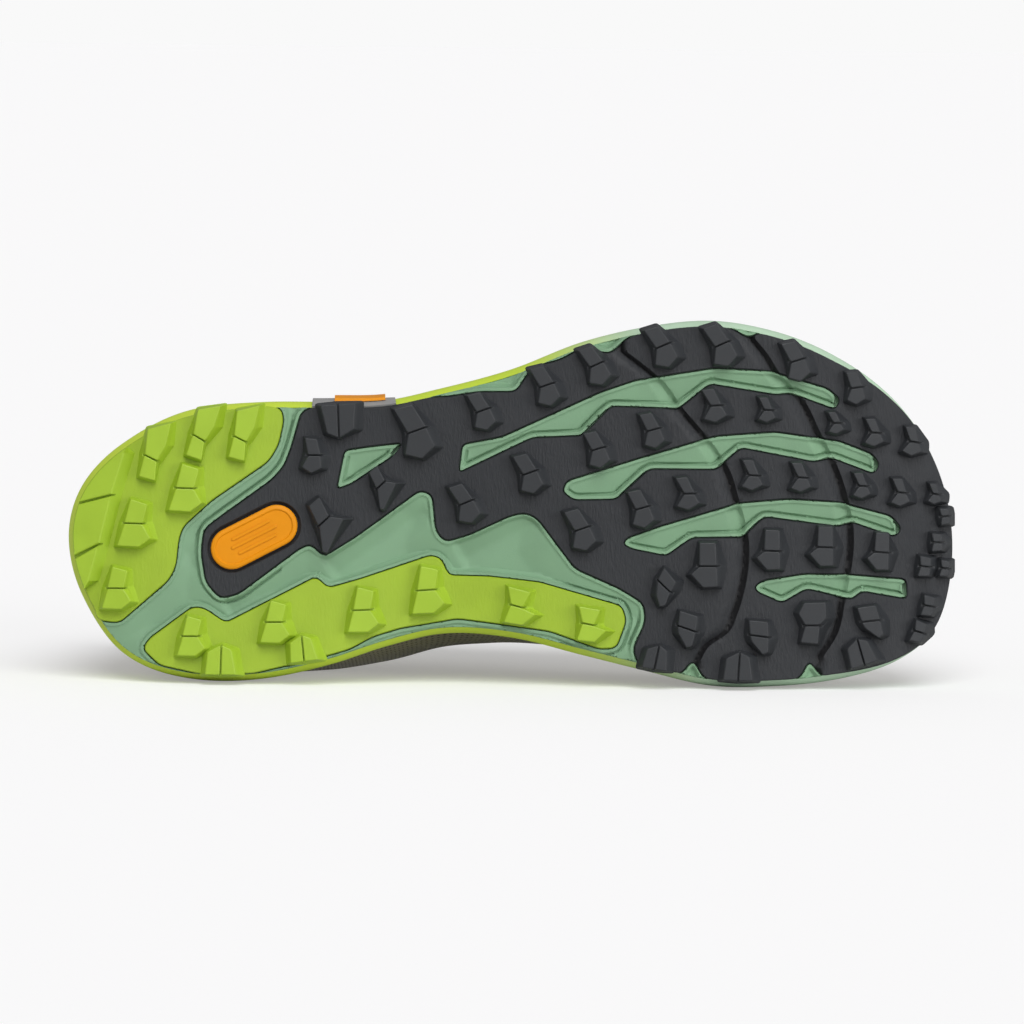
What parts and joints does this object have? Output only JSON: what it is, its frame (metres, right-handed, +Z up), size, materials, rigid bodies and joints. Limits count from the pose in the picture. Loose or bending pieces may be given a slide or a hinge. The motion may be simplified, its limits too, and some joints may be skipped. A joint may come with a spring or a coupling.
{
  "type": "trail running shoe",
  "caption": "Right trail running shoe with a lugged sole, lying on its medial side with the sole in front.",
  "frame": {"origin": "middle of the shoe's box, on the floor that it lies on", "axes": "+X from heel to toe, +Y from the sole to the collar, +Z up from the medial to the lateral side"},
  "size_m": [0.3002, 0.1174, 0.1233],
  "materials": {
    "charcoal_rubber": "matte moulded",
    "lime_rubber": "matte moulded",
    "orange_rubber": "satin moulded",
    "sage_foam": "matte foam skin",
    "taupe_mesh": "woven mesh",
    "tongue_cloth": "padded cloth",
    "insole_cloth": "brushed cloth",
    "lace_cord": "braided"
  },
  "bodies": {
    "root": {"outsole_forefoot": "charcoal_rubber", "outsole_heel": "lime_rubber", "outsole_medial": "lime_rubber", "sole_inlay": "orange_rubber", "side_inlay": "orange_rubber", "midsole": "sage_foam", "upper": "taupe_mesh", "tongue": "tongue_cloth", "insole": "insole_cloth", "lace": "lace_cord"}
  },
  "joints": []
}
